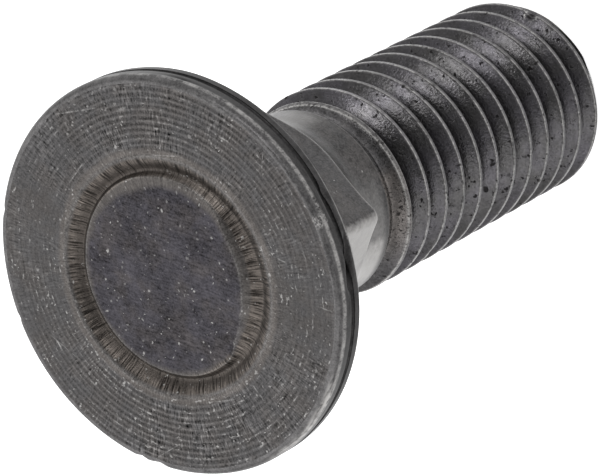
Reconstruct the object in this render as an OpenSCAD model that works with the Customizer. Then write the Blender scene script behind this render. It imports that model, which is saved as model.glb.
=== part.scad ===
// Flat countersunk bolt with a short square neck and a coarse metric thread, forged and rolled in one piece.
// It stands on its threaded end: z = 0 is the flat of that end, and the flat head looks up.

/* [Overall] */
// Length over everything, from the flat of the threaded end to the head's face
length = 30; // [24:0.5:60]

/* [Head] */
// Diameter over the rim
head_d = 18.9; // [17:0.1:21]
// Height of the straight rim under the face
rim_h = 1.5; // [1.2:0.05:2.2]
// Radius of the worn edge between the face and the rim
rim_edge_r = 0.35; // [0.1:0.05:0.5]
// Depth of the middle of the rim's groove below the face
groove_drop = 0.95; // [0.75:0.05:1.05]
// Radius of the rim's groove, which is half round
groove_r = 0.14; // [0.05:0.01:0.15]
// Full angle of the countersunk cone
cone_angle = 90; // [86:1:96]

/* [Recess in the face] */
// Diameter of the round land in the middle of the recess
land_d = 9; // [8:0.1:9.4]
// Depth of that land below the face
land_drop = 0.12; // [0.05:0.01:0.2]
// Diameter of the trough's bottom line, where it is deepest
trough_d = 9.9; // [9.7:0.1:10.3]
// Depth of the trough below the face
trough_drop = 0.4; // [0.3:0.02:0.6]
// Diameter at which the trough's outer wall meets the face
trough_rim_d = 11.4; // [11:0.1:12.4]

/* [Square neck] */
// Width across the flats of the square
square_w = 10; // [9.6:0.1:10.6]
// Radius on the square's four long edges
square_edge_r = 0.5; // [0.2:0.05:0.8]
// Depth below the face at which the square's edges end
square_end = 7.2; // [6.8:0.1:8]
// Radius of the hollow fillet between the square and the round neck
fillet_r = 2.7; // [2.3:0.1:3]
// Diameter of the round neck, which is the size of the blank before rolling
neck_d = 9.1; // [8.9:0.05:9.3]
// Depth below the face at which the round neck ends and the thread begins
neck_end = 11.3; // [10.9:0.1:14]

/* [Thread] */
// Major diameter over the crests
thread_d = 9.9; // [9.75:0.05:10]
// Pitch of the right-hand thread
pitch = 1.5; // [1.25:0.05:1.75]
// Depth of the thread, from crest to root
thread_depth = 0.9; // [0.75:0.05:1]
// Width of the flat on a crest
crest_w = 0.19; // [0.1:0.01:0.25]
// Angle of the thread's two flanks
flank_angle = 60; // [55:1:62]
// Diameter of the rolled surface between the round neck and the first crest
start_d = 8.6; // [8.5:0.05:8.8]
// Direction in which the thread begins under the neck
start_angle = 46; // [0:1:359]
// Distance from the end of the round neck to the middle of the first crest, where the thread begins
start_gap = 0.44; // [0.35:0.02:0.6]
// Turn over which the thread rises to its full height
runout_angle = 300; // [180:10:350]

/* [Threaded end] */
// Diameter of the flat on the end
tip_d = 8.8; // [7.6:0.1:9.4]
// Full angle of the cone at the end
tip_angle = 90; // [80:1:100]

/* [Hidden] */
$fn = 96;

STEEL = [0.29, 0.285, 0.285];
// Sides of the thread's round, and rows of points in one pitch
SIDES = 60;
ROWS = 4;
// How far one solid is let into the next, so that they are one piece
BITE = 0.5;
// A row of points this close to the flat of the end stops on the ring round that flat
END_GAP = 0.02;

head_r = head_d / 2;
neck_r = neck_d / 2;
crest_r = thread_d / 2;
root_r = crest_r - thread_depth;
start_r = start_d / 2;
tip_r = tip_d / 2;

// Height of a place that is given by its depth below the face
function up(drop) = length - drop;

// Outline of the head from the axis outwards, with its face, rim and cone, turned about the axis later
module head_outline() {
    cone_tan = tan(cone_angle / 2);
    core_r = neck_r / 2;
    cone_end = rim_h + (head_r - core_r) / cone_tan;
    difference() {
        union() {
            polygon([
                [0, up(land_drop)],
                [land_d / 2, up(land_drop)],
                [trough_d / 2, up(trough_drop)],
                [trough_rim_d / 2, up(0)],
                [head_r - rim_edge_r, up(0)],
                [head_r, up(rim_edge_r)],
                [head_r, up(rim_h)],
                [core_r, up(cone_end)],
                [0, up(cone_end)],
            ]);
            translate([head_r - rim_edge_r, up(rim_edge_r)])
                circle(r = rim_edge_r);
        }
        translate([head_r, up(groove_drop)])
            circle(r = groove_r);
    }
}

module head() {
    rotate_extrude()
        head_outline();
}

// Square with its four corners rounded by true arcs
module square_outline() {
    inner_w = square_w - 2 * square_edge_r;
    square([square_w, inner_w], center = true);
    square([inner_w, square_w], center = true);
    for (x = [-1, 1], y = [-1, 1])
        translate([x * inner_w / 2, y * inner_w / 2])
            circle(r = square_edge_r);
}

// Outline of the round form that ends the square: a hollow fillet down to the round neck
module neck_outline() {
    fillet_end = square_end + fillet_r;
    difference() {
        translate([0, up(neck_end)])
            square([square_w, neck_end - rim_h]);
        translate([neck_r, up(neck_end)])
            square([square_w, neck_end - fillet_end]);
        translate([neck_r + fillet_r, up(fillet_end)])
            circle(r = fillet_r);
        translate([neck_r + fillet_r, up(fillet_end)])
            square([square_w, fillet_r]);
    }
}

module neck() {
    intersection() {
        translate([0, 0, up(neck_end)])
            linear_extrude(neck_end - rim_h)
                square_outline();
        rotate_extrude()
            neck_outline();
    }
}

// Thread: rows of points run round the bolt on a helix, ROWS of them in each pitch. A row that leaves the
// threaded length stops on the ring of points that closes the solid there.
thread_len = up(neck_end);
first_crest_z = thread_len - start_gap;
turns = ceil(first_crest_z / pitch) + 1;
row_count = ROWS * turns;
half_crest = crest_w / 2;
flank_len = thread_depth * tan(flank_angle / 2);

// Height of a row over the crest line that its pitch begins on
function row_lift(row) =
    let (places = [half_crest, half_crest + flank_len, pitch - half_crest - flank_len, pitch - half_crest])
    places[row % ROWS] + floor(row / ROWS) * pitch;

// Direction of a column of points, and the height of a row in it
function column_angle(column) = start_angle + 360 * column / SIDES;
function row_z(column, row) = first_crest_z - turns * pitch + pitch * column / SIDES + row_lift(row);

// Turns of the helix between the place where it begins and a row
function turns_in(column, row) = turns - floor((row + 1) / ROWS) - column / SIDES;

// Share of the thread's full height: none where it begins, all of it once it has run out
function rise(column, row) = sin(90 * max(0, min(1, 360 * turns_in(column, row) / runout_angle)));

// Radius of a row: its crest or root, as far as the run-out and the cone of the end let it
function row_r(column, row) =
    let (
        is_crest = row % ROWS == 0 || row % ROWS == ROWS - 1,
        full = start_r + rise(column, row) * ((is_crest ? crest_r : root_r) - start_r)
    )
    min(full, tip_r + row_z(column, row) * tan(tip_angle / 2));

module thread() {
    body = [
        for (column = [0 : SIDES - 1], row = [0 : row_count - 1])
            let (r = row_r(column, row), a = column_angle(column))
            [r * cos(a), r * sin(a), row_z(column, row)]
    ];
    end_ring = [for (column = [0 : SIDES - 1])
        [tip_r * cos(column_angle(column)), tip_r * sin(column_angle(column)), 0]];
    neck_ring = [for (column = [0 : SIDES - 1])
        [start_r * cos(column_angle(column)), start_r * sin(column_angle(column)), thread_len + BITE]];
    end_first = len(body);
    neck_first = end_first + SIDES;

    // Number of the point that a row has in a column, or of the ring's point where the row has left the thread
    function number(column, row) =
        row < 0 || row_z(column, row) <= END_GAP ? end_first + column
        : row >= row_count || row_z(column, row) >= thread_len ? neck_first + column
        : column * row_count + row;

    // The last column joins the first one a pitch higher up
    function after(column, row) = column < SIDES - 1 ? number(column + 1, row) : number(0, row + ROWS);

    skin = [
        for (column = [0 : SIDES - 1], row = [-ROWS : row_count])
            let (
                a = number(column, row),
                b = after(column, row),
                c = after(column, row + 1),
                d = number(column, row + 1)
            )
            each [if (a != b && b != c && a != c) [a, c, b], if (a != c && c != d && a != d) [a, d, c]]
    ];
    end_cap = [[for (column = [0 : SIDES - 1]) end_first + column]];
    neck_cap = [[for (column = [SIDES - 1 : -1 : 0]) neck_first + column]];
    polyhedron(points = concat(body, end_ring, neck_ring), faces = concat(skin, end_cap, neck_cap), convexity = 10);
}

module bolt() {
    color(STEEL)
        union() {
            head();
            neck();
            thread();
        }
}

bolt();
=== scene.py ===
import math

import bmesh
import bpy
from mathutils import Matrix, Vector, noise


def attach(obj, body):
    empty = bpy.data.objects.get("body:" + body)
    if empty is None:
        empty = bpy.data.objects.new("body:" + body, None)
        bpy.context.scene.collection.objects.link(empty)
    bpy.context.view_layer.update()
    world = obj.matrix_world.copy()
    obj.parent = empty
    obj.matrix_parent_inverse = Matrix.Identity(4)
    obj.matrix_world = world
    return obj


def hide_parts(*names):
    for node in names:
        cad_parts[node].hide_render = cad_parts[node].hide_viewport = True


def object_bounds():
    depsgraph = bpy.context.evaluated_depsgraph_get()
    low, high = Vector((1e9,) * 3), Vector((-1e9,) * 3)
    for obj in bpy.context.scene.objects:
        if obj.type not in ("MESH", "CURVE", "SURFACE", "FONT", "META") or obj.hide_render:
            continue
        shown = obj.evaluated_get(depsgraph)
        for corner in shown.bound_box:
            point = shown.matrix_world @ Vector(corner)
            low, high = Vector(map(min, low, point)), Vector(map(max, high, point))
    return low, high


bl_info = {
    "name": "Countersunk bolt",
    "version": (1, 0, 0),
    "blender": (4, 5, 0),
    "location": "View3D > Sidebar > Bolt",
    "description": "Builds a worn black steel bolt with a square neck, and a pale stage for it",
    "category": "Add Mesh",
}

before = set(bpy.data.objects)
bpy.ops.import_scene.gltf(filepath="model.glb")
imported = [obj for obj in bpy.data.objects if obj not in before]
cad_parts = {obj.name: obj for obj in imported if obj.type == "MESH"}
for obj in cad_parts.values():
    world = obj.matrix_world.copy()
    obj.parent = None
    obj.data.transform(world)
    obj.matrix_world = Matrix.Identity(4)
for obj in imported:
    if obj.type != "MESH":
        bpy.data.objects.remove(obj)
CAD_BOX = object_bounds()

MM = 0.001
FACE_HEIGHT = CAD_BOX[1].z
# Glow of the floor where the camera sees it, and where the steel mirrors it
FLOOR_GLOW = 0.8
MIRRORED_GLOW = 0.54

# Sides of the turned head, and of the thread, which has a third of them
HEAD_SIDES = 360
THREAD_SIDES = 120

# Zones of the steel, in the order of the piece's material slots
FACE, RIM, NECK, THREAD = range(4)


def length_prop(name, text, default, low, high):
    """A length that shows in the scene's unit."""
    return bpy.props.FloatProperty(name=name, description=text, default=default, min=low, max=high,
                                   precision=5, subtype="DISTANCE", unit="LENGTH")


def colour_prop(name, text, default):
    return bpy.props.FloatVectorProperty(name=name, description=text, default=default, size=3,
                                         min=0.0, max=1.0, subtype="COLOR")


def share_prop(name, text, default, high=1.0):
    return bpy.props.FloatProperty(name=name, description=text, default=default, min=0.0, max=high)


class BoltSizes(bpy.types.PropertyGroup):
    """Real sizes of the bolt."""
    length: length_prop("Length", "From the flat of the threaded end to the head's face",
                        CAD_BOX[1].z - CAD_BOX[0].z, 0.024, 0.06)
    head_d: length_prop("Head diameter", "Over the rim", CAD_BOX[1].x - CAD_BOX[0].x, 0.017, 0.021)
    rim_h: length_prop("Rim height", "Straight part of the rim", 0.0015, 0.0012, 0.0022)
    square_w: length_prop("Square width", "Across the flats of the neck", 0.01, 0.0096, 0.0106)
    square_edge_r: length_prop("Square edge radius", "On the four long edges", 0.0005, 0.0002, 0.0008)
    fillet_r: length_prop("Fillet radius", "Between the square and the round neck", 0.0027, 0.0023, 0.003)
    neck_d: length_prop("Neck diameter", "Round part above the thread", 0.0091, 0.0089, 0.0093)
    thread_d: length_prop("Thread diameter", "Over the crests", 0.0099, 0.00975, 0.01)
    pitch: length_prop("Pitch", "From crest to crest", 0.0015, 0.00125, 0.00175)
    start_d: length_prop("Run-out diameter", "Where the thread begins", 0.0086, 0.0085, 0.0088)
    tip_d: length_prop("End diameter", "Flat of the threaded end", 0.0088, 0.0076, 0.0094)


class BoltFinish(bpy.types.PropertyGroup):
    """Colours and wear of the steel."""
    steel: colour_prop("Steel", "Oiled black steel", (0.105, 0.102, 0.103))
    cool: colour_prop("Cool steel", "Bluish steel in the recess and on the flanks", (0.080, 0.076, 0.087))
    warm: colour_prop("Warm steel", "Brownish film in the trough and the run-out", (0.112, 0.098, 0.088))
    # The rubbed colour also paints highlights on edges and crests, and a reflection on one side of the neck
    rubbed_and_highlight: colour_prop("Rubbed steel", "Bright metal where the film has rubbed off", (0.42, 0.41, 0.40))
    # The scale colour also paints shade in the rim's groove, the trough's bottom and the thread's roots
    scale_and_shade: colour_prop("Scale", "Black scale in pits and grooves", (0.012, 0.011, 0.011))
    dust: colour_prop("Dust", "Pale specks that stick to the oil", (0.5, 0.49, 0.48))
    gloss: share_prop("Roughness", "Roughness of the oiled steel", 0.36)
    wear_and_highlight: share_prop("Wear", "How much the edges are rubbed", 1.0, 2.0)


class StageLook(bpy.types.PropertyGroup):
    """The pale stage and its soft lamps."""
    floor: colour_prop("Floor", "Pale floor", (0.82, 0.82, 0.82))
    horizon: share_prop("Horizon", "Strength of the light from the sides", 0.95, 2.0)
    overhead: share_prop("Overhead", "Strength of the light from straight above", 0.34, 2.0)
    lamps: share_prop("Lamp light", "Factor on all lamps", 1.0, 4.0)


def smooth_step(low, high, value):
    t = max(0.0, min(1.0, (value - low) / (high - low)))
    return t * t * (3 - 2 * t)


def soft_min(a, b, width):
    """The smaller of two values, rounded off where they cross."""
    blend = max(width - abs(a - b), 0.0) / width
    return min(a, b) - blend * blend * width / 4


def soft_max(a, b, width):
    return -soft_min(-a, -b, width)


def round_curve(keys, degrees):
    """Value at an angle of a closed curve through (angle, value) keys that rise in angle."""
    angle = degrees % 360
    ring = [(a % 360, v) for a, v in keys]
    ring.sort()
    ring = [(ring[-1][0] - 360, ring[-1][1])] + ring + [(ring[0][0] + 360, ring[0][1])]
    for (a0, v0), (a1, v1) in zip(ring, ring[1:]):
        if a0 <= angle <= a1:
            return v0 + (v1 - v0) * smooth_step(a0, a1, angle)
    return ring[0][1]


def angle_between(a, b):
    """Signed difference of two angles in degrees, at most half a turn."""
    return (a - b + 180) % 360 - 180


def noise_round(degrees, count, seed):
    """Noise round the axis with about count waves, the same at 0 and 360 degrees."""
    k = count / math.tau
    a = math.radians(degrees)
    return noise.noise(Vector((k * math.cos(a), k * math.sin(a), seed)))


# Face of the head, from its middle outwards: radius, depth below the face, and wear with its painted highlight, in
# millimetres
DISC_EDGE = 4.5
DISC_ROWS = [(r / 10, 0.12, 0.0) for r in (0, 6, 11, 16, 21, 26, 31, 35, 38, 41, 43, 44)]
TROUGH_ROWS = [
    (4.46, 0.121, 0.2), (DISC_EDGE, 0.13, 1.0), (4.54, 0.15, 0.3), (4.62, 0.2, 0), (4.7, 0.26, 0),
    (4.78, 0.32, 0), (4.86, 0.37, 0), (4.93, 0.392, 0), (5.0, 0.385, 0), (5.08, 0.35, 0), (5.18, 0.29, 0),
    (5.3, 0.2, 0), (5.42, 0.12, 0), (5.54, 0.06, 0), (5.63, 0.028, 0.3), (5.7, 0.014, 0.5),
]
LIP_ROWS = [(5.8, 0.006, 0.2), (5.9, 0.003, 0), (6.0, 0.001, 0), (6.09, 0.003, 0)]
# Tool marks: radius of the first ridge, distance between ridges, rows of points for each, number and depth
RING_START = 6.172
RING_PITCH = 0.277
RING_ROWS_PER_PITCH = 5
RING_ROWS = 52
RING_DEPTH = 0.009
# The tool marks run round a point that is a little off the axis, towards this direction
RING_OFFSET = 0.11
RING_OFFSET_ANGLE = -119
EDGE_START = 9.12
EDGE_RADIUS = 0.35
GROOVE_DROP = 0.95
GROOVE_RADIUS = 0.14

# Radius of the edge of the recess's middle disc, by direction: it was struck a little out of round
DISC_EDGE_CURVE = [(-179, 4.2), (-167, 4.03), (-149, 3.97), (-125, 3.96), (-114, 4.04), (-107, 4.22), (-99, 4.45),
                   (-88, 4.6), (-60, 4.7), (-29, 4.75), (20, 4.64), (61, 4.6), (110, 4.64), (141, 4.7), (161, 4.64)]

# Dents and nicks on the rim: direction, depth below the face, width round, height, how deep
RIM_DENTS = [
    (-144, 0.79, 0.3, 0.1, 0.12), (-141.5, 0.89, 0.3, 0.12, 0.16), (-139, 1.0, 0.3, 0.12, 0.2),
    (-136.5, 1.11, 0.3, 0.12, 0.2), (-134, 1.21, 0.28, 0.11, 0.16), (-132, 1.31, 0.25, 0.1, 0.1),
    (-117.5, 1.08, 0.12, 0.1, 0.08), (-119, 1.16, 0.12, 0.1, 0.09), (-120.5, 1.24, 0.12, 0.1, 0.08), (-67, 0.5, 0.9, 0.06, 0.05),
    (-118.5, 0.98, 0.5, 0.2, 0.06), (-123, 0.9, 0.5, 0.16, 0.06), (107, 0.2, 0.2, 0.2, 0.09),
    (112.7, 0.15, 0.35, 0.22, 0.1), (51.6, 0.2, 0.16, 0.25, 0.06), (19.4, 0.2, 0.2, 0.3, 0.05),
    (-124.5, 0.17, 0.3, 0.13, -0.09), (158, 0.18, 0.5, 0.2, 0.05), (-155, 0.2, 0.4, 0.14, 0.03),
]


def edge_rows():
    """Worn edge with a painted highlight, grooved rim and the start of the cone."""
    rows = [(EDGE_START - 0.04, 0.003, 0.1)]
    middle_r = 9.45 - EDGE_RADIUS
    for i in range(9):
        a = math.radians(90 - 90 * i / 8)
        rows.append((middle_r + EDGE_RADIUS * math.cos(a), EDGE_RADIUS * (1 - math.sin(a)), 0.55))
    rows += [(9.45, d, w) for d, w in ((0.42, 0.45), (0.5, 0.4), (0.58, 0.25), (0.66, 0.2), (0.73, 0.25), (0.78, 0.45))]
    for i in range(9):
        a = math.radians(90 - 180 * i / 8)
        rows.append((9.45 - GROOVE_RADIUS * math.cos(a), GROOVE_DROP - GROOVE_RADIUS * math.sin(a), 0.0))
    rows += [(9.45, d, w) for d, w in ((1.13, 0.3), (1.2, 0.15), (1.28, 0.1), (1.36, 0.15), (1.42, 0.5))]
    rows += [(9.438, 1.46, 0.9), (9.41, 1.495, 0.8), (9.36, 1.55, 0.3)]
    return rows


# Neck rows by their nominal depth: the cone ends at CONE_END and the square at SQUARE_END, as far as the rows count
CONE_END = 5.0
SQUARE_END = 8.0
CONE_DEPTHS = (1.7, 2.0, 2.4, 2.8, 3.2, 3.6, 4.0, 4.4, 4.7, 4.85, 4.93, CONE_END)
SQUARE_DEPTHS = (5.06, 5.15, 5.4, 5.8, 6.2, 6.6, 7.0, 7.3, 7.6, 7.8, 7.9, 7.95, SQUARE_END)
FILLET_DEPTHS = (8.03, 8.07, 8.13, 8.22, 8.35, 8.5, 8.65, 8.8, 8.95, 9.1, 9.25, 9.4, 9.55, 9.7, 9.9)
NECK_DEPTHS = (10.1, 10.35, 10.6, 10.85, 11.05, 11.2)
# Painted highlight along the crease where the square meets the fillet, by depth
CREASE_HIGHLIGHT = {7.9: 0.2, 7.95: 0.8, 8.0: 1.0, 8.03: 1.0, 8.07: 0.7, 8.13: 0.3}
STEP_DROP = 11.3
THREAD_TOP_DROP = 11.36
# The head's part of the skin ends and the thread's begins on a ring at this depth, inside the run-out
SEAM_DROP = 11.4

# Half of the thread's profile, from the middle of a crest: distance along the axis and depth under the crest
THREAD_PROFILE = [(0.0, 0.0), (0.05, 0.0), (0.085, 0.006), (0.115, 0.03), (0.15, 0.085), (0.28, 0.31), (0.42, 0.553),
                  (0.54, 0.76), (0.61, 0.865), (0.67, 0.895)]
# Wear and painted highlight of the crest by distance along the axis: both are strongest on its upper edge
CREST_WEAR_AND_HIGHLIGHT = {0.0: 0.1, 0.05: 0.35, 0.085: 1.0, 0.115: 0.2, -0.05: 0.05, -0.085: 0.25}
THREAD_DEPTH = 0.9
START_ANGLE = 46
START_GAP = 0.44
RUNOUT_TURNS = 300 / 360

# Nicks in the crests: direction, height above the end, width round, height, how deep
THREAD_DENTS = [
    (-79, 1.3, 0.26, 0.24, 0.34), (-79, 1.3, 0.42, 0.36, -0.12), (-104.0, 6.1, 0.22, 0.14, 0.07), (-140.0, 9.4, 0.3, 0.15, 0.08),
    (-96.0, 12.2, 0.2, 0.12, 0.06), (-152.0, 4.7, 0.25, 0.15, 0.08), (35.0, 8.0, 0.35, 0.2, 0.09),
    (120.0, 3.6, 0.3, 0.2, 0.09), (170.0, 14.1, 0.25, 0.16, 0.07), (-20.0, 10.9, 0.3, 0.18, 0.08),
    (80.0, 15.0, 0.25, 0.16, 0.06),
]


def dent_depth(dents, degrees, level, radius):
    """Depth of the dents at a place, where level is the height or depth that the dents are given by."""
    total = 0.0
    for angle, place, width, height, depth in dents:
        across = math.radians(angle_between(degrees, angle)) * radius / width
        along = (level - place) / height
        reach = across * across + along * along
        if reach < 9:
            total += depth * math.exp(-reach)
    return total


def face_point(r, drop, degrees):
    """Where a point of the face goes: out of round disc, radial marks in the trough, tool marks off centre."""
    edge = round_curve(DISC_EDGE_CURVE, degrees) + 0.03 * noise_round(degrees, 26, 3.1)
    bottom = 4.93
    if r <= DISC_EDGE:
        new_r = r * edge / DISC_EDGE
        worn = smooth_step(3.2, DISC_EDGE, r)
        place = Vector((new_r * math.cos(math.radians(degrees)), new_r * math.sin(math.radians(degrees)), 7.7))
        drop += 0.012 * noise.noise(place * 0.9) + 0.006 * noise.noise(place * 2.3) * (1 - worn)
        return new_r, drop
    if r <= bottom:
        new_r = edge + (r - DISC_EDGE) * (bottom - edge) / (bottom - DISC_EDGE)
        return new_r, drop + 0.008 * noise_round(degrees, 150, 1.7)
    if r < RING_START - 0.01:
        marks = smooth_step(5.0, 5.2, r) * (1 - smooth_step(5.6, 6.1, r))
        rough = 0.008 * noise_round(degrees, 170, 5.3) + 0.005 * noise_round(degrees, 70, 9.1)
        push = 0.05 * noise_round(degrees, 30, 2.2) * smooth_step(5.3, 5.6, r) * (1 - smooth_step(5.8, 6.2, r))
        return r + push, max(0.0, drop + marks * rough)
    fade = smooth_step(RING_START, 6.6, r) * (1 - smooth_step(8.7, EDGE_START, r))
    shift = RING_OFFSET * math.cos(math.radians(degrees - RING_OFFSET_ANGLE))
    a = math.radians(degrees)
    place = Vector((r * math.cos(a), r * math.sin(a), 2.2))
    uneven = 0.5 + 0.5 * noise.noise(place * 0.35)
    return r + fade * shift, drop * (0.45 + 1.1 * uneven) + 0.004 * (0.5 + 0.5 * noise.noise(place * 0.8))


def rim_point(r, drop, degrees, head_r):
    """Where a point of the rim goes: a little out of true, with its dents."""
    out = 0.016 * noise_round(degrees, 5, 4.4) + 0.012 * noise_round(degrees, 17, 6.5) - 0.014
    low = 0.03 * noise_round(degrees, 21, 8.8) * smooth_step(0.3, 0.8, drop)
    dent = dent_depth(RIM_DENTS, degrees, drop, head_r)
    scale = smooth_step(EDGE_START - 0.3, 9.3, r)
    inward = max(0.0, dent) + min(0.0, dent)
    fall = 0.35 * max(0.0, inward) * (1 - smooth_step(0.3, 0.6, drop))
    new_r = min(head_r, r + (out - inward) * scale)
    return new_r, max(0.0, drop + low + fall)


def square_radius(degrees, half_w, edge_r):
    """Distance from the axis to the square with rounded edges."""
    a = math.radians(abs(angle_between(degrees, 90 * round(degrees / 90))))
    flat = half_w / math.cos(a)
    middle = half_w - edge_r
    corner = middle * math.sqrt(2)
    off = math.radians(45) - a
    inside = edge_r ** 2 - (corner * math.sin(off)) ** 2
    if inside <= 0:
        return flat
    arc = corner * math.cos(off) + math.sqrt(inside)
    touch = math.atan2(middle, half_w)
    return arc if a >= touch else flat


def neck_point(drop, degrees, sizes):
    """Where a point of the cone, the square or the fillet goes, from its nominal depth."""
    square = square_radius(degrees, sizes.square_w / 2 / MM, sizes.square_edge_r / MM)
    head_r = sizes.head_d / 2 / MM
    rim_h = sizes.rim_h / MM
    neck_r = sizes.neck_d / 2 / MM
    fillet_r = sizes.fillet_r / MM
    fillet_end = 7.2 + fillet_r
    middle_r = neck_r + fillet_r
    cone_end = rim_h + head_r - square
    square_end = fillet_end - math.sqrt(max(0.0, fillet_r ** 2 - (middle_r - square) ** 2))
    if drop <= CONE_END:
        share = (drop - 1.55) / (CONE_END - 1.55)
        place = 1.55 + share * (cone_end - 1.55)
    elif drop <= SQUARE_END:
        place = cone_end + (drop - CONE_END) / (SQUARE_END - CONE_END) * (square_end - cone_end)
    else:
        share = (drop - SQUARE_END) / (fillet_end - SQUARE_END)
        place = square_end + share * (fillet_end - square_end) if share < 1 else drop
    cone = head_r + rim_h - place
    if place < fillet_end:
        fillet = middle_r - math.sqrt(max(0.0, fillet_r ** 2 - (fillet_end - place) ** 2))
    else:
        fillet = neck_r
    r = soft_max(cone, soft_min(square, fillet, 0.03), 0.22)
    return r, place


def bolt_rows(sizes):
    """Rows of the head and the neck, from the middle of the face to the seam with the thread."""
    rows = DISC_ROWS + TROUGH_ROWS + LIP_ROWS
    for i in range(RING_ROWS):
        wave = 0.5 - 0.5 * math.cos(math.tau * i / RING_ROWS_PER_PITCH)
        rows = rows + [(RING_START + i * RING_PITCH / RING_ROWS_PER_PITCH, RING_DEPTH * wave, 0.0)]
    rows = rows + edge_rows()
    rows += [(9.0, d, 0.0) for d in CONE_DEPTHS]
    rows += [(5.5, d, CREASE_HIGHLIGHT.get(d, 0.0)) for d in SQUARE_DEPTHS]
    rows += [(5.0, d, CREASE_HIGHLIGHT.get(d, 0.0)) for d in FILLET_DEPTHS]
    neck_r = sizes.neck_d / 2 / MM
    start_r = sizes.start_d / 2 / MM
    rows += [(neck_r, d, 0.0) for d in NECK_DEPTHS]
    rows += [(neck_r, STEP_DROP - 0.05, 0.35), (neck_r - 0.015, STEP_DROP - 0.015, 0.9), (neck_r - 0.05, STEP_DROP + 0.008, 0.7),
             (neck_r - 0.12, STEP_DROP + 0.02, 0.1), (start_r + 0.03, STEP_DROP + 0.04, 0.0), (start_r, SEAM_DROP, 0.0)]
    return rows


def spun_rows(bm, rows, layers):
    """Spins rows of (radius, depth, share of rubbing and painted highlight) round the axis, and keeps the rows' numbers
    on the points.
    """
    radius, level, wear_and_highlight = layers
    points = []
    for r, place, worn in rows:
        point = bm.verts.new((r, 0, place))
        point[radius], point[level], point[wear_and_highlight] = r, place, worn
        points.append(point)
    edges = [bm.edges.new(pair) for pair in zip(points, points[1:])]
    bmesh.ops.spin(bm, geom=points + edges, cent=(0, 0, 0), axis=(0, 0, 1), dvec=(0, 0, 0), angle=math.pi / 2,
                   steps=HEAD_SIDES // 4, use_merge=False, use_normal_flip=False, use_duplicate=False)
    quarter = bm.verts[:] + bm.edges[:] + bm.faces[:]
    for turn in (1, 2, 3):
        copy = bmesh.ops.duplicate(bm, geom=quarter)["geom"]
        bmesh.ops.rotate(bm, verts=[g for g in copy if isinstance(g, bmesh.types.BMVert)], cent=(0, 0, 0),
                         matrix=Matrix.Rotation(turn * math.pi / 2, 3, "Z"))
    bmesh.ops.remove_doubles(bm, verts=bm.verts[:], dist=1e-4)


def shape_head(bm, sizes, layers):
    """Spins the head and the neck, and moves each point to its place."""
    radius, level, _ = layers
    length = sizes.length / MM
    head_r = sizes.head_d / 2 / MM
    spun_rows(bm, bolt_rows(sizes), layers)
    for v in bm.verts:
        r, drop = v[radius], v[level]
        if r < 1e-6:
            v.co = (0, 0, length - drop)
            continue
        degrees = math.degrees(math.atan2(v.co.y, v.co.x))
        if drop < 0.5 and r < EDGE_START - 0.1:
            r, drop = face_point(r, drop, degrees)
        elif drop <= 1.55 + 1e-6:
            r, drop = rim_point(r, drop, degrees, head_r)
        elif drop < STEP_DROP - 0.06:
            r, drop = neck_point(drop, degrees, sizes)
        a = math.radians(degrees)
        v.co = (r * math.cos(a), r * math.sin(a), length - drop)


def thread_radius(z, degrees, under, sizes):
    """Radius of a point that lies a given depth under the crest, with the run-out and the cone of the end."""
    crest_r = sizes.thread_d / 2 / MM
    start_r = sizes.start_d / 2 / MM
    tip_r = sizes.tip_d / 2 / MM
    pitch = sizes.pitch / MM
    first_crest = (sizes.length / MM) - STEP_DROP - START_GAP
    turns_in = (first_crest - z) / pitch
    rise = math.sin(math.pi / 2 * max(0.0, min(1.0, turns_in / RUNOUT_TURNS)))
    crest_r += 0.008 * noise_round(degrees, 9, z * 0.6) - 0.008
    full = start_r + rise * (crest_r - under - start_r)
    full -= dent_depth(THREAD_DENTS, degrees, z, crest_r) * (1 - under / THREAD_DEPTH)
    return soft_min(full, tip_r + z, 0.06)


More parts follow.
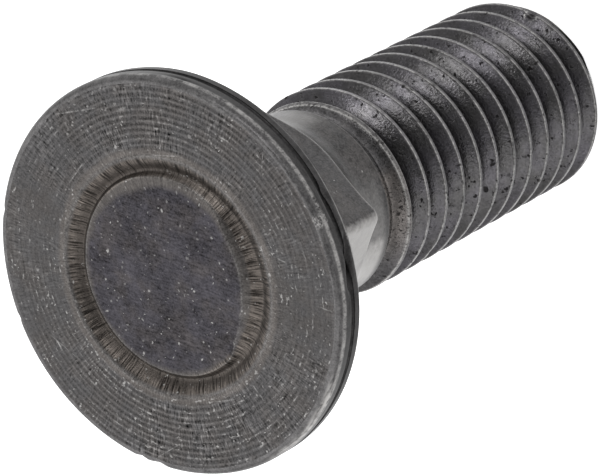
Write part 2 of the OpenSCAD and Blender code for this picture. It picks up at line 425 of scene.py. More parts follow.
def shape_thread(bm, sizes, layers):
    """Spins one pitch of the thread along its helix, merges the turns and cuts both ends flat."""
    radius, level, wear_and_highlight = layers
    length = sizes.length / MM
    pitch = sizes.pitch / MM
    crest_r = sizes.thread_d / 2 / MM
    first_crest = length - STEP_DROP - START_GAP
    turns = math.ceil(first_crest / pitch) + 2
    start_z = first_crest - turns * pitch + pitch
    half = THREAD_PROFILE + [(pitch / 2, THREAD_DEPTH)]
    rows = [(-x, under) for x, under in reversed(half[1:])] + half
    rows = [(x, under, CREST_WEAR_AND_HIGHLIGHT.get(x, 0.0)) for x, under in rows]
    points = []
    for x, under, worn in rows:
        point = bm.verts.new((crest_r - under, 0, start_z - pitch + x))
        point[radius], point[level], point[wear_and_highlight] = under, -1.0, worn
        points.append(point)
    edges = [bm.edges.new(pair) for pair in zip(points, points[1:])]
    bmesh.ops.rotate(bm, verts=points, cent=(0, 0, 0), matrix=Matrix.Rotation(math.radians(START_ANGLE), 3, "Z"))
    bmesh.ops.spin(bm, geom=points + edges, cent=(0, 0, 0), axis=(0, 0, 1), dvec=(0, 0, pitch / THREAD_SIDES),
                   angle=math.tau, steps=THREAD_SIDES, use_merge=False, use_normal_flip=False, use_duplicate=False)
    one_turn = bm.verts[:] + bm.edges[:] + bm.faces[:]
    for turn in range(1, turns + 1):
        copy = bmesh.ops.duplicate(bm, geom=one_turn)["geom"]
        bmesh.ops.translate(bm, verts=[g for g in copy if isinstance(g, bmesh.types.BMVert)], vec=(0, 0, turn * pitch))
    bmesh.ops.remove_doubles(bm, verts=bm.verts[:], dist=1e-3)
    for v in bm.verts:
        degrees = math.degrees(math.atan2(v.co.y, v.co.x))
        r = thread_radius(v.co.z, degrees, v[radius], sizes)
        a = math.radians(degrees)
        v.co.x, v.co.y = r * math.cos(a), r * math.sin(a)
        if v.co.z > first_crest + 0.1:
            v[wear_and_highlight] = 0.0
        # Twice the wear and painted highlight on the first crest, for its light double line
        elif v.co.z > first_crest - 1.2:
            v[wear_and_highlight] *= 2.0
        # A light line on the end's chamfer, partly rubbing and partly a painted highlight
        elif v[radius] < 0.5 and 0.15 < r < crest_r - 0.01 and v.co.z < 0.75:
            v[wear_and_highlight] = max(v[wear_and_highlight], 0.5)
    for height, outer in ((0.0, False), (length - SEAM_DROP, True)):
        bmesh.ops.bisect_plane(bm, geom=bm.verts[:] + bm.edges[:] + bm.faces[:], dist=1e-5, plane_co=(0, 0, height),
                               plane_no=(0, 0, 1), clear_outer=outer, clear_inner=not outer)
    close_end(bm, sizes, layers)


def rim_edges(bm, height):
    """Edges with one face only that lie at a height."""
    return [e for e in bm.edges if e.is_boundary and all(abs(v.co.z - height) < 1e-3 for v in e.verts)]


def close_end(bm, sizes, layers):
    """Closes the flat of the threaded end with rings of faces down to one point."""
    edges = rim_edges(bm, 0.0)
    for scale in (0.985, 0.9, 0.62, 0.3):
        made = bmesh.ops.extrude_edge_only(bm, edges=edges)["geom"]
        edges = [g for g in made if isinstance(g, bmesh.types.BMEdge) and g.is_boundary]
        ring = list({v for e in edges for v in e.verts})
        tip_r = sizes.tip_d / 2 / MM
        for v in ring:
            v[layers[2]] = 0.0
            flat = Vector((v.co.x, v.co.y, 0)).normalized() * tip_r * scale
            v.co = (flat.x, flat.y, 0.0)
    made = bmesh.ops.extrude_edge_only(bm, edges=edges)["geom"]
    last = [g for g in made if isinstance(g, bmesh.types.BMVert)]
    bmesh.ops.pointmerge(bm, verts=last, merge_co=(0, 0, 0))


def bolt_mesh(sizes):
    """The whole bolt as one closed skin, in metres."""
    mesh = bpy.data.meshes.new("bolt_steel")
    for shape in (shape_thread, shape_head):
        part = bmesh.new()
        layers = [part.verts.layers.float.new(name) for name in ("row_radius", "row_level", "wear_and_highlight")]
        shape(part, sizes, layers)
        if shape is shape_head:
            part.from_mesh(mesh)
        part.to_mesh(mesh)
        part.free()
    bm = bmesh.new()
    bm.from_mesh(mesh)
    bmesh.ops.bridge_loops(bm, edges=rim_edges(bm, sizes.length / MM - SEAM_DROP))
    bmesh.ops.remove_doubles(bm, verts=bm.verts[:], dist=1e-4)
    bmesh.ops.recalc_face_normals(bm, faces=bm.faces[:])
    length = sizes.length / MM
    for f in bm.faces:
        f.smooth = True
        middle = f.calc_center_median()
        drop = length - middle.z
        if drop > STEP_DROP + 0.03:
            f.material_index = THREAD
        elif drop > 1.5:
            f.material_index = NECK
        elif math.hypot(middle.x, middle.y) > EDGE_START - 0.05:
            f.material_index = RIM
        else:
            f.material_index = FACE
    bmesh.ops.scale(bm, vec=(MM, MM, MM), verts=bm.verts[:])
    bm.to_mesh(mesh)
    bm.free()
    for name in ("row_radius", "row_level"):
        mesh.attributes.remove(mesh.attributes[name])
    mesh.set_sharp_from_angle(angle=math.radians(50))
    return mesh


class Value:
    """An output of a shader node. Expressions on it add Math nodes."""

    def __init__(self, tree, output):
        self.tree = tree
        self.output = output

    def maths(self, operation, *others):
        return self.tree.node("ShaderNodeMath", {"operation": operation}, dict(enumerate((self,) + others)))

    def __add__(self, other):
        return self.maths("ADD", other)

    def __sub__(self, other):
        return self.maths("SUBTRACT", other)

    def __rsub__(self, other):
        return (self * -1) + other

    def __mul__(self, other):
        return self.maths("MULTIPLY", other)

    def __truediv__(self, other):
        return self.maths("DIVIDE", other)

    __radd__ = __add__
    __rmul__ = __mul__

    def at_most(self, other):
        return self.maths("MINIMUM", other)

    def at_least(self, other):
        return self.maths("MAXIMUM", other)

    def share(self):
        """The value held between nought and one."""
        return self.at_least(0.0).at_most(1.0)

    def step(self, low, high):
        """Nought below low, one above high, smooth between them."""
        return self.tree.node("ShaderNodeMapRange", {"interpolation_type": "SMOOTHSTEP"},
                              {"Value": self, "From Min": low, "From Max": high})

    def band(self, low, high, soft):
        """One between low and high, nought outside them."""
        return self.step(low - soft, low + soft) * (1 - self.step(high - soft, high + soft))


class Tree:
    """A node tree, and the one method that adds nodes to it."""

    def __init__(self, owner):
        owner.use_nodes = True
        self.nodes = owner.node_tree.nodes
        self.links = owner.node_tree.links

    def node(self, kind, settings=None, sockets=None, out=0):
        """Adds any node: its settings first, then the values or links of its sockets."""
        new = self.nodes.new(kind)
        for key, value in (settings or {}).items():
            setattr(new, key, value)
        for key, value in (sockets or {}).items():
            if isinstance(value, Value):
                self.links.new(value.output, new.inputs[key])
            else:
                new.inputs[key].default_value = value
        return Value(self, new.outputs[out])

    def own(self, kind):
        """The node of this kind that the tree came with."""
        return next(n for n in self.nodes if n.type == kind)


class Paint(Tree):
    """Node tree of one finish of the bolt, with its places in millimetres."""

    def __init__(self, name):
        self.material = bpy.data.materials.new(name)
        super().__init__(self.material)
        self.shader = self.own("BSDF_PRINCIPLED")
        place = self.node("ShaderNodeTexCoord", out="Object")
        self.place = self.node("ShaderNodeVectorMath", {"operation": "SCALE"}, {0: place, "Scale": 1 / MM})
        self.x, self.y, self.z = (self.node("ShaderNodeSeparateXYZ", sockets={0: self.place}, out=i) for i in range(3))
        self.drop = FACE_HEIGHT / MM - self.z
        self.radius = (self.x * self.x + self.y * self.y).maths("SQRT").at_least(0.01)
        self.unit_x, self.unit_y = self.x / self.radius, self.y / self.radius
        self.wear_and_highlight = self.node("ShaderNodeAttribute", {"attribute_name": "wear_and_highlight"}, out="Fac")

    def vector(self, x, y, z):
        return self.node("ShaderNodeCombineXYZ", sockets={0: x, 1: y, 2: z})

    def noise(self, vector, scale, detail=2.0, rough=0.5):
        return self.node("ShaderNodeTexNoise", sockets={"Vector": vector, "Scale": scale, "Detail": detail,
                                                        "Roughness": rough})

    def around(self, count, along):
        """A vector whose noise has about count waves round the axis, and varies with another value."""
        k = count / math.tau
        return self.vector(self.unit_x * k, self.unit_y * k, along)

    def towards(self, degrees):
        """Cosine of the angle between a place and a direction, seen along the axis."""
        a = math.radians(degrees)
        return self.unit_x * math.cos(a) + self.unit_y * math.sin(a)

    def bent(self, amount, scale):
        """The place, shifted by noise, so that marks made from it come out uneven."""
        shift = self.node("ShaderNodeTexNoise", sockets={"Vector": self.place, "Scale": scale, "Detail": 2.0}, out="Color")
        return self.node("ShaderNodeVectorMath", {"operation": "MULTIPLY_ADD"},
                         {0: shift, 1: (amount, amount, amount), 2: self.place})

    def specks(self, vector, scale, size, share):
        """Mask of specks: size is their radius in cells, share how many of the cells have one."""
        distance = self.node("ShaderNodeTexVoronoi", sockets={"Vector": vector, "Scale": scale})
        colour = Value(self, distance.output.node.outputs["Color"])
        pick, spread = (self.node("ShaderNodeSeparateColor", sockets={0: colour}, out=i) for i in (0, 1))
        reach = (spread * 0.7 + 0.3) * size
        return (1 - (distance / reach).step(0.55, 1.0)) * (1 - pick.step(share - 0.01, share + 0.01))

    def scratch(self, start, end, width):
        """Mask of a straight scratch between two places on the face, each given by direction and radius."""
        (ax, ay), (bx, by) = [(r * math.cos(math.radians(d)), r * math.sin(math.radians(d))) for d, r in (start, end)]
        long = math.hypot(bx - ax, by - ay)
        ux, uy = (bx - ax) / long, (by - ay) / long
        along = (self.x - ax) * ux + (self.y - ay) * uy
        across = ((self.x - ax) * -uy + (self.y - ay) * ux).maths("ABSOLUTE")
        return (1 - across.step(width * 0.3, width)) * along.band(0.0, long, 0.12)

    def near(self, degrees, radius, reach):
        """Mask that is one at a place on the face and fades out at a distance from it."""
        a = math.radians(degrees)
        dx, dy = self.x - radius * math.cos(a), self.y - radius * math.sin(a)
        return 1 - (dx * dx + dy * dy).maths("SQRT").step(reach * 0.4, reach)

    def away(self, vector, degrees, radius, height):
        """Distance of a bent place from a point that is given by direction, radius and height."""
        a = math.radians(degrees)
        middle = (radius * math.cos(a) + BEND, radius * math.sin(a) + BEND, height + BEND)
        return self.node("ShaderNodeVectorMath", {"operation": "DISTANCE"}, {0: vector, 1: middle}, out=1)

    def tint(self, colour, factor):
        """A colour made darker or lighter by a factor."""
        colour = colour if isinstance(colour, Value) else tuple(colour)
        return self.node("ShaderNodeVectorMath", {"operation": "SCALE"}, {0: colour, "Scale": factor})

    def mix(self, factor, a, b):
        """Colour a where the factor is nought, b where it is one."""
        a, b = [c if isinstance(c, Value) else (*tuple(c), 1.0) for c in (a, b)]
        return self.node("ShaderNodeMix", {"data_type": "RGBA"}, {0: factor, 6: a, 7: b}, out=2)

    def finish(self, colour, roughness, height, depth):
        """Joins colour, roughness and the relief, whose height is in units of depth in millimetres."""
        self.links.new(colour.output, self.shader.inputs["Base Color"])
        self.links.new(roughness.output, self.shader.inputs["Roughness"])
        self.shader.inputs["Metallic"].default_value = 1.0
        bump = self.node("ShaderNodeBump", sockets={"Height": height, "Strength": 1.0, "Distance": depth * MM})
        self.links.new(bump.output, self.shader.inputs["Normal"])
        return self.material


# Scratches on the face: direction and radius of both ends, and half width, in millimetres
SCRATCHES = [
    ((-21, 8.9), (-35, 8.26), 0.05), ((122, 7.96), (112, 9.09), 0.03), ((-132.5, 6.42), (-134.5, 6.8), 0.05),
    ((-100, 8.75), (-103, 8.1), 0.03), ((-56, 5.76), (-69, 5.96), 0.04), ((153, 6.25), (138, 5.98), 0.035),
    ((-6, 6.37), (-17, 6.44), 0.04), ((165, 7.0), (165.5, 6.3), 0.05), ((-150, 8.4), (-150.6, 8.9), 0.05),
    ((72, 7.2), (60, 7.9), 0.025), ((-44, 7.9), (-47, 7.95), 0.1),
]


def face_finish(finish):
    """Turned face with its tool marks, warm lip, brown trough and bluish disc; painted shade at the trough's bottom, a
    painted lighter left side of the trough, painted glints on the tool marks and a painted highlight on the disc's
    edge.
    """
    paint = Paint("turned_face")
    radius, place = paint.radius, paint.place
    off = math.radians(RING_OFFSET_ANGLE)
    from_x = paint.x - RING_OFFSET * math.cos(off)
    from_y = paint.y - RING_OFFSET * math.sin(off)
    wander = paint.noise(paint.around(9, 0.0), 1.0, 2.0)
    ring_r = (from_x * from_x + from_y * from_y).maths("SQRT") + (wander - 0.5) * 0.08
    ring_wave = ((ring_r - RING_START) * (math.tau / RING_PITCH)).maths("COSINE") * 0.5 + 0.5
    ring_line = ring_wave * ring_wave

    cloud = paint.noise(place, 0.5, 3.0, 0.55)
    patch = paint.noise(place, 0.95, 2.0)
    grain = paint.noise(place, 11.0, 2.0, 0.6)
    spots = paint.noise(place, 4.5, 3.0, 0.7)
    fine = paint.noise(paint.around(40, ring_r * 13), 1.0, 2.0, 0.6)
    dashes = paint.noise(paint.around(150, ring_r * 7.2), 1.0, 2.0, 0.6)
    ticks = paint.noise(paint.around(560, ring_r * 2.6), 1.0, 1.0, 0.5)
    radial = paint.noise(paint.around(520, radius * 1.2), 1.0, 1.0, 0.5)
    broad = paint.noise(paint.around(120, radius * 0.9), 1.0, 2.0, 0.6)

    edge_wave = (paint.noise(paint.around(60, 0.0), 1.0, 3.0) - 0.5) * 0.3
    lip = (radius + edge_wave).band(5.72, 6.05, 0.14)
    right = paint.towards(-152).step(0.2, 0.9)
    trough = (radius + edge_wave * 0.5 + right * 0.3 * (1 - radius.step(4.6, 5.0))).band(4.72, 5.56, 0.09)
    bottom = (radius + edge_wave * 0.4).band(4.84, 5.3, 0.14)
    inside = 1 - radius.step(5.55, 5.75)
    upper = paint.towards(-62).step(0.2, 1.0) * 0.3 + paint.towards(-140).step(0.6, 1.0) * 0.45
    disc = 1 - (radius + (patch - 0.5) * 0.3 + edge_wave * 0.4 + upper).step(4.3, 4.7)

    across = paint.towards(112)
    smooth = paint.near(14, 7.0, 1.8).at_least(paint.near(-150, 7.9, 1.4) * 0.6)
    strong = (0.15 + across * across * 0.85) * (1 - smooth * 0.8) * (0.4 + patch * 1.2)
    crisp = paint.towards(142)
    crisp = crisp * crisp
    rough = (1 - smooth * 0.8) * (0.35 + cloud.step(0.42, 0.6) * 0.65) * (0.9 + crisp * 0.9)
    tone = 0.67 + (ring_line - 0.38) * 0.38 * strong + (fine - 0.5) * 0.75 * rough + (cloud - 0.5) * 0.3
    tone = tone + (ticks - 0.5) * rough * 1.2 + (grain - 0.5) * (0.85 + crisp * 0.5) + (spots - 0.5) * 0.45 + radius.step(8.8, 9.1) * 0.07
    steel = paint.mix(patch.step(0.35, 0.65) * 0.3, finish.steel, finish.warm)
    colour = paint.tint(steel, tone)
    slope = paint.tint(paint.mix(0.5, finish.steel, finish.warm), 0.79 + (broad - 0.5) * 0.5 + (grain - 0.5) * 1.0 + (radial - 0.5) * 0.9)
    colour = paint.mix(inside, colour, slope)
    lip_tone = 0.94 + (radial - 0.5) * 1.0 + (cloud - 0.5) * 0.9 + (grain - 0.5) * 1.3 + (spots - 0.5) * 0.5
    lip_colour = paint.tint(paint.mix(0.6, finish.steel, finish.warm), lip_tone)
    colour = paint.mix(lip * 0.85, colour, lip_colour)
    # Painted light: the trough's inner slope is made lighter on the left side and not on the right
    lit_left_wall = radius.band(4.64, 4.9, 0.06) * (0.6 - right * 0.6)
    groove_tone = 0.82 + lit_left_wall + (radial - 0.5) * 3.9 + (broad - 0.5) * 0.7 + (grain - 0.5) * 1.2
    groove = paint.tint(finish.warm, groove_tone.at_least(0.2))
    colour = paint.mix(trough, colour, groove)
    # Painted shade along the trough's deepest ring, weaker on the right, in the scale colour
    colour = paint.mix(bottom * (0.2 + (radial - 0.5) * 2.4).share() * (1 - right * 0.5), colour, finish.scale_and_shade)
    streaks = paint.noise(paint.vector(paint.x * 1.6 + paint.y * 0.6, paint.y * 9.0 - paint.x * 3.6, 3.0), 1.0, 3.0, 0.6)
    disc_tone = 0.57 + (streaks - 0.5) * 1.0 + (cloud - 0.5) * 0.9 + (grain - 0.5) * 1.0 + (spots - 0.5) * 0.8
    disc_colour = paint.tint(paint.mix(patch.step(0.4, 0.7) * 0.35, finish.cool, finish.warm), disc_tone)
    colour = paint.mix(disc, colour, disc_colour)

    # The rows' values lighten the disc's edge and the lip: partly rubbing, partly a painted highlight on those edges
    worn = (paint.wear_and_highlight * (0.4 + (grain - 0.5) * 2.0 + (patch - 0.5))).share() * 0.35
    colour = paint.mix(worn, colour, finish.rubbed_and_highlight)
    cluster = (paint.noise(place, 0.7, 2.0) + paint.towards(145) * 0.05).step(0.46, 0.6)
    dust = paint.specks(paint.bent(0.3, 4.0), 3.3, 0.3, 0.2).at_least(paint.specks(paint.bent(0.2, 5.0), 6.0, 0.4, 0.16))
    flecks = (dashes + (ring_line - 0.38) * 0.1).step(0.62, 0.74) * (1 - inside) * cluster
    # Painted glints on the tool marks' ticks; they share the dust colour with real dust specks and scratches
    tick_glints = (ticks + ring_line * 0.12).step(0.66, 0.8) * (1 - inside) * cluster * strong
    bright = (dust * (0.35 + cluster * 0.75)).at_least(flecks * 0.9).at_least(tick_glints * 0.35)
    for start, end, width in SCRATCHES:
        bright = bright.at_least(paint.scratch(start, end, width) * (0.3 + (spots - 0.5) * 3.0).share())
    colour = paint.mix(bright * 0.62, colour, finish.dust)

    height = (ring_wave * 0.4 * strong + fine * 1.2 + ticks * 1.2 * rough) * (1 - inside)
    height = height + radial * 1.9 * trough.at_least(lip * 0.4) + streaks * 0.5 * disc
    height = height + grain * 0.8 + bright * 1.2
    roughness = finish.gloss + (grain - 0.5) * 0.2 + trough * 0.06 + bright * 0.2
    return paint.finish(colour, roughness, height, 0.006)


# Lump on the rim's worn edge: direction and radius
LUMP = (-124.5, 9.3)


def rim_finish(finish):
    """Grooved rim: its upper edge lighter from rubbing and a painted highlight, painted shade in the groove, and a
    painted highlight on one side of the lower lip.
    """
    paint = Paint("worn_rim")
    place, drop = paint.place, paint.drop
    grain = paint.noise(place, 11.0, 2.0, 0.65)
    blotch = paint.noise(place, 3.2, 3.0, 0.6)
    cloud = paint.noise(place, 0.8, 2.0)
    lines = paint.noise(paint.around(50, paint.z * 7), 1.0, 3.0, 0.6)
    # The upper edge and its shoulder are made lighter, partly rubbing and partly a painted highlight on the rounded
    # edge
    edge = 1 - drop.step(0.12, 0.4)
    shoulder = 1 - drop.step(0.08, 0.22)
    tone = 0.38 + edge * 0.42 + shoulder * 0.18 + (lines - 0.5) * (0.5 + shoulder * 0.9) + (blotch - 0.5) * 0.35
    tone = tone + (cloud - 0.5) * 0.3 + (grain - 0.5) * (0.6 + shoulder * 0.6)
    colour = paint.tint(finish.steel, tone.at_least(0.12))
    # Painted shade in the groove under the rim's edge, in the scale colour
    groove = drop.band(0.5, 1.34, 0.1)
    colour = paint.mix(groove * 0.2, colour, finish.scale_and_shade)
    streak = paint.noise(paint.around(30, 1.7), 1.0, 3.0, 0.6)
    uneven = (streak - 0.5) * 3.0 + (blotch - 0.5) * 2.0 + (grain - 0.5) * 1.6
    # A light line on the rounded edge: rubbing and a painted highlight
    edge_wear_and_highlight = drop.band(0.2, 0.42, 0.06) * (0.5 + uneven).share()
    # Painted highlight along the lower lip's edge, strongest on the side towards -121 degrees
    lit_side = paint.towards(-121).step(0.97, 0.997)
    lip_highlight = drop.step(1.38, 1.44) * (lit_side * 0.7 - 0.1 + uneven * 0.7).share()
    worn = (paint.wear_and_highlight * edge * (0.3 + (blotch - 0.5) * 2.0 + (grain - 0.5) * 1.6)).share()
    lump = paint.near(*LUMP, 0.45) * (0.1 + (lines - 0.5) * 3.0 + (grain - 0.5) * 3.0).share() * (1 - drop.step(0.4, 0.6))
    chipped = paint.towards(172).step(0.93, 0.98) * drop.band(0.06, 0.44, 0.05)
    chipped = chipped * (0.6 + (lines - 0.5) * 3.0 + (blotch - 0.5) * 2.0).share()
    bright = (worn * 0.25).at_least(edge_wear_and_highlight * 0.55).at_least(chipped * 0.95).at_least(lip_highlight * 0.7).at_least(lump * 0.8)
    colour = paint.mix(bright, colour, finish.rubbed_and_highlight)
    height = grain * 0.8 + lines * 0.5 + blotch * 0.5 + lump * 2.0
    roughness = finish.gloss + 0.04 + (grain - 0.5) * 0.2
    return paint.finish(colour, roughness, height, 0.006)


def neck_finish(finish):
    """Forged cone and square neck: dull film with small pits, a painted reflection on one flat and the fillet below it,
    and a painted highlight on the fillet's top and along the crease.
    """
    paint = Paint("forged_neck")
    place, drop = paint.place, paint.drop
    grain = paint.noise(place, 10.0, 2.0, 0.6)
    cloud = paint.noise(place, 0.6, 3.0, 0.6)
    drawn = paint.noise(paint.around(60, paint.z * 1.5), 1.0, 3.0, 0.6)
    mottle = paint.noise(place, 3.2, 3.0, 0.65)
    steel = paint.mix(cloud.step(0.4, 0.6) * 0.25, finish.steel, finish.warm)
    tone = 0.56 - drop.step(7.6, 8.2) * 0.07 + (drawn - 0.5) * 0.35 + (mottle - 0.5) * 0.8 + (grain - 0.5) * 1.0 + (cloud - 0.5) * 0.3
    colour = paint.tint(steel, tone.at_least(0.15))
    # Painted reflection: the flat facing -x and the fillet below it are painted light as if they mirrored the floor;
    # the fillet's top towards -62 degrees and its low part towards -165 get a painted highlight
    flat = (paint.x * -1 + (mottle - 0.5) * 0.3).step(4.6, 5.02) * (1 - drop.step(7.4, 8.6)) * 0.92
    hollow_sheen = (paint.towards(-176) + (mottle - 0.5) * 0.04).step(0.92, 1.0) * drop.step(7.0, 8.0) * 1.1
    low = (paint.towards(-165) + (mottle - 0.5) * 0.06).step(0.6, 1.0) * drop.step(7.6, 9.0) * 0.3
    other = paint.towards(-62).step(0.955, 1.0) * drop.step(8.4, 9.2) * 0.28
    painted_reflection = (flat.at_least(hollow_sheen) * 0.93).at_least(other).at_least(low) * (1 - drop.step(10.6, 11.2))
    colour = paint.mix(painted_reflection * (0.68 + (mottle - 0.5) * 0.3 + (drawn - 0.5) * 0.3), colour, finish.rubbed_and_highlight)
    # Painted highlight, with some rubbing, along the crease below the square, the rim's lower edge and the step, from
    # the rows' values
    worn = (paint.wear_and_highlight * (0.8 + (grain - 0.5) * 1.8)).share()
    colour = paint.mix(worn * 0.42, colour, finish.rubbed_and_highlight)
    cluster = paint.noise(place, 0.9, 2.0).step(0.5, 0.64)
    dust = paint.specks(paint.bent(0.3, 4.0), 3.6, 0.3, 0.25) * cluster
    colour = paint.mix(dust * 0.5, colour, finish.dust)
    pits = paint.specks(paint.bent(0.3, 3.0), 2.6, 0.2, 0.12)
    colour = paint.mix(pits * 0.5, colour, finish.scale_and_shade)
    height = grain * 0.9 + mottle * 1.2 + drawn * 0.6 - pits * 2.0 + dust
    roughness = finish.gloss - 0.03 + (mottle - 0.5) * 0.2
    return paint.finish(colour, roughness, height, 0.009)


# Half of the amount by which the thread's pattern is bent
BEND = 0.2
PIT_RADIUS = 4.55
# The deep nick in the last crest: direction, radius and height
NICK = (-79, 4.8, 1.3)
# Larger pits in the thread: direction, height above the end, radius
THREAD_PITS = [
    (-92.5, 13.7, 0.1), (-95, 13.3, 0.11), (-90, 13.2, 0.06), (-84.5, 10.3, 0.1), (-161, 8.4, 0.14), (-163, 8.9, 0.08),
    (-164, 9.8, 0.12), (-165.5, 10.2, 0.08), (-162, 5.5, 0.09), (-164, 15.7, 0.1), (-158, 12.6, 0.09), (-104, 15.4, 0.07),
    (40, 9.0, 0.12), (43, 9.5, 0.09), (75, 12.4, 0.11), (150, 6.2, 0.12), (153, 6.0, 0.07), (10, 4.1, 0.1),
]


def thread_finish(finish):
    """Rolled thread: glossy flanks with black pits and a painted sheen, painted shade in the roots, brown run-out,
    crests worn to thin bright lines that are partly a painted highlight.
    """
    paint = Paint("rolled_thread")
    place, drop = paint.place, paint.drop
    grain = paint.noise(place, 9.0, 2.0, 0.65)
    cloud = paint.noise(place, 0.55, 3.0, 0.6)
    spots = paint.noise(place, 2.6, 3.0, 0.65)
    blotch = paint.noise(paint.bent(0.6, 2.0), 1.5, 4.0, 0.7)
    rolled = paint.noise(paint.around(16, paint.radius * 12 + paint.z * 3), 1.0, 3.0, 0.6)
    steel = paint.mix(cloud.step(0.35, 0.65) * 0.6, finish.steel, paint.tint(finish.cool, 1.3))
    tone = 0.76 + (rolled - 0.5) * 0.5 + (cloud - 0.5) * 0.4 + (grain - 0.5) * 0.9 + (blotch - 0.5) * 0.7
    # Painted sheen: flanks facing -78 degrees are lighter in the turns nearest the head
    tone = tone + paint.towards(-78).step(0.9, 0.99) * (1 - drop.step(13.5, 15.0)) * 0.3
    colour = paint.tint(steel, tone.at_least(0.15))
    run_out = 1 - drop.step(12.2, 13.0)
    below = paint.towards(-135).step(0.5, 0.9)
    oily = paint.towards(-106).step(0.93, 0.985)
    brown_tone = 0.9 + below * 0.3 - oily * 0.5 + (grain - 0.5) * 2.2 + (spots - 0.5) * 1.6
    brown = paint.tint(paint.mix((below * 0.6 - oily * 0.6 + 1 - drop.step(11.4, 11.7)).share(), finish.steel, finish.warm), brown_tone.at_least(0.2))
    colour = paint.mix(run_out * 0.85, colour, brown)
    # Painted shade in the thread's roots, in the scale colour
    root = 1 - paint.radius.step(4.08, 4.5)
    colour = paint.mix(root * (1 - run_out) * 0.55, colour, finish.scale_and_shade)
    # Crests worn to thin light lines, partly rubbing and partly a painted highlight
    worn = (paint.wear_and_highlight * (0.6 + (grain - 0.5) * 2.0 + (spots - 0.5) * 2.0 + (cloud - 0.5) * 1.2)).share()
    colour = paint.mix(worn * 0.9, colour, finish.rubbed_and_highlight)
    bent = paint.bent(0.4, 3.0)
    pits = paint.specks(bent, 1.5, 0.22, 0.25).at_least(paint.specks(bent, 3.6, 0.34, 0.3)).at_least(spots.step(0.65, 0.69))
    pits = pits.at_least(blotch.step(0.66, 0.72) * 0.8).at_least(run_out * below * grain.step(0.58, 0.64))
    for angle, height, reach in THREAD_PITS:
        pits = pits.at_least(1 - paint.away(bent, angle, PIT_RADIUS, height).step(reach, reach * 2.2))
    nick = paint.away(bent, *NICK)
    pits = pits.at_least(1 - nick.step(0.1, 0.24))
    colour = paint.mix(nick.band(0.25, 0.34, 0.04) * (0.4 + (grain - 0.5) * 4.0).share(), colour, finish.rubbed_and_highlight)
    colour = paint.mix(pits * 0.8, colour, finish.scale_and_shade)
    height = grain * 1.5 + rolled * 0.6 + blotch * 1.5 - pits * 2.0
    roughness = finish.gloss - 0.13 + (cloud - 0.5) * 0.2 + (spots - 0.5) * 0.4 + pits * 0.3
    return paint.finish(colour, roughness, height, 0.01)


def lamp(name, azimuth, elevation, distance, size, strength):
    """A soft rectangular lamp that looks at the bolt; strength is its brightness, where one is white."""
    light = bpy.data.lights.new(name, "AREA")
    light.shape = "RECTANGLE"
    light.size, light.size_y = size
    light.energy = strength * math.pi * size[0] * size[1]
    thing = bpy.data.objects.new(name, light)
    bpy.context.scene.collection.objects.link(thing)
    a, e = math.radians(azimuth), math.radians(elevation)
    away = Vector((math.cos(a) * math.cos(e), math.sin(a) * math.cos(e), math.sin(e)))
    thing.location = Vector((0, 0, 0.015)) + away * distance
    thing.rotation_mode = "QUATERNION"
    thing.rotation_quaternion = away.to_track_quat("Z", "Y")
    return thing


# Lamps: name, azimuth, elevation, distance, size, brightness
LAMPS = [
    ("lamp_behind", 61, 48, 0.6, (0.75, 0.6), 1.15),
    ("lamp_sheen", -57, 60, 0.6, (0.19, 0.17), 5.6),
    ("lamp_side", 150, 52, 0.6, (0.44, 0.35), 1.4),
]

# Camera: direction from the bolt, turn about its own line of sight, distance, the point it looks at, and its lens
CAMERA_AZIMUTH = -118.53
CAMERA_ELEVATION = 50.34
CAMERA_ROLL = -117.98
CAMERA_DISTANCE = 0.22878
CAMERA_TARGET = Vector((-0.00089, 0.00085, 0.020))
CAMERA_LENS = 295.5


def make_camera():
    """Camera at the photo's angle."""
    data = bpy.data.cameras.new("photo_camera")
    data.lens = CAMERA_LENS
    data.sensor_width = 36
    data.clip_start = 0.01
    data.clip_end = 20
    camera = bpy.data.objects.new("photo_camera", data)
    bpy.context.scene.collection.objects.link(camera)
    a, e = math.radians(CAMERA_AZIMUTH), math.radians(CAMERA_ELEVATION)
    back = Vector((math.cos(a) * math.cos(e), math.sin(a) * math.cos(e), math.sin(e)))
    level = Vector((0, 0, 1)).cross(back).normalized()
    upright = back.cross(level)
    roll = math.radians(CAMERA_ROLL)
    right = level * math.cos(roll) + upright * math.sin(roll)
    up = back.cross(right)
    place = CAMERA_TARGET + back * CAMERA_DISTANCE
    camera.matrix_world = Matrix(((right.x, up.x, back.x, place.x), (right.y, up.y, back.y, place.y),
                                  (right.z, up.z, back.z, place.z), (0, 0, 0, 1)))
    bpy.context.scene.camera = camera


def floor_finish(colour):
    """Pale floor that shows white to the camera and in reflections, and keeps the shadow."""
    material = bpy.data.materials.new("pale_floor")
    tree = Tree(material)
    shader = tree.own("BSDF_PRINCIPLED")
    shader.inputs["Base Color"].default_value = (*colour, 1)
    shader.inputs["Roughness"].default_value = 0.9
    shader.inputs["Specular IOR Level"].default_value = 0.1
    shader.inputs["Emission Color"].default_value = (1, 1, 1, 1)
    seen = tree.node("ShaderNodeLightPath", out="Is Camera Ray")
    mirrored = tree.node("ShaderNodeLightPath", out="Is Glossy Ray")
    tree.links.new((seen * FLOOR_GLOW).at_least(mirrored * MIRRORED_GLOW).output, shader.inputs["Emission Strength"])
    return material


def light_world(world, look):
    """Light from all round, bright at the horizon and dim overhead; white where the camera sees it."""
    tree = Tree(world)
    background = tree.own("BACKGROUND")
    background.inputs["Color"].default_value = (1, 1, 1, 1)
    way = tree.node("ShaderNodeTexCoord", out="Generated")
    up = tree.node("ShaderNodeSeparateXYZ", sockets={0: way}, out=2)
    light = look.horizon + up.step(0.2, 1.0) * (look.overhead - look.horizon)
    seen = tree.node("ShaderNodeLightPath", out="Is Camera Ray")
    tree.links.new((light * (1 - seen) + seen).output, background.inputs["Strength"])


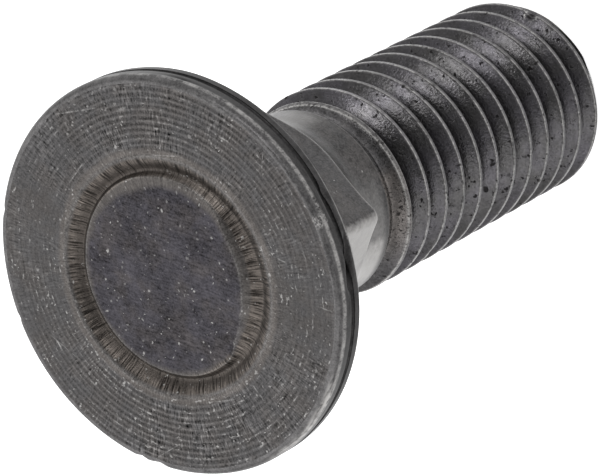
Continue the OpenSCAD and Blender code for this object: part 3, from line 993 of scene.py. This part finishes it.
class BuildBolt(bpy.types.Operator):
    """Builds the bolt's skin of worn black steel in place of the plain solid"""
    bl_idname = "mesh.build_bolt_steel"
    bl_label = "Build bolt"

    def execute(self, context):
        sizes, finish = context.scene.bolt_sizes, context.scene.bolt_finish
        mesh = bolt_mesh(sizes)
        for make in (face_finish, rim_finish, neck_finish, thread_finish):
            mesh.materials.append(make(finish))
        piece = bpy.data.objects.new("bolt_steel", mesh)
        context.scene.collection.objects.link(piece)
        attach(piece, "root")
        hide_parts("bolt")
        return {"FINISHED"}


class BuildStage(bpy.types.Operator):
    """Lays the pale floor and sets the soft lamps and the camera"""
    bl_idname = "scene.build_bolt_stage"
    bl_label = "Build stage"

    def execute(self, context):
        look = context.scene.stage_look
        bm = bmesh.new()
        bmesh.ops.create_grid(bm, x_segments=1, y_segments=1, size=3.0)
        mesh = bpy.data.meshes.new("floor")
        bm.to_mesh(mesh)
        bm.free()
        mesh.materials.append(floor_finish(tuple(look.floor)))
        floor = bpy.data.objects.new("floor", mesh)
        context.scene.collection.objects.link(floor)
        world = bpy.data.worlds.new("studio")
        context.scene.world = world
        light_world(world, look)
        for name, azimuth, elevation, distance, size, strength in LAMPS:
            lamp(name, azimuth, elevation, distance, size, strength * look.lamps)
        make_camera()
        context.scene.view_settings.view_transform = "Standard"
        return {"FINISHED"}


class BoltPanel(bpy.types.Panel):
    """Sizes, colours and the two builders"""
    bl_idname = "VIEW3D_PT_bolt"
    bl_label = "Countersunk bolt"
    bl_space_type = "VIEW_3D"
    bl_region_type = "UI"
    bl_category = "Bolt"

    def draw(self, context):
        for group in (context.scene.bolt_sizes, context.scene.bolt_finish, context.scene.stage_look):
            box = self.layout.box()
            for key in group.bl_rna.properties.keys():
                if key not in ("rna_type", "name"):
                    box.prop(group, key)
        for builder in (BuildBolt, BuildStage):
            self.layout.operator(builder.bl_idname)


CLASSES = (BoltSizes, BoltFinish, StageLook, BuildBolt, BuildStage, BoltPanel)
GROUPS = {"bolt_sizes": BoltSizes, "bolt_finish": BoltFinish, "stage_look": StageLook}


def register():
    for cls in CLASSES:
        bpy.utils.register_class(cls)
    for name, group in GROUPS.items():
        setattr(bpy.types.Scene, name, bpy.props.PointerProperty(type=group))


def unregister():
    for name in GROUPS:
        delattr(bpy.types.Scene, name)
    for cls in reversed(CLASSES):
        bpy.utils.unregister_class(cls)


def main():
    register()
    bpy.ops.mesh.build_bolt_steel()
    bpy.ops.scene.build_bolt_stage()


if __name__ == "__main__":
    main()
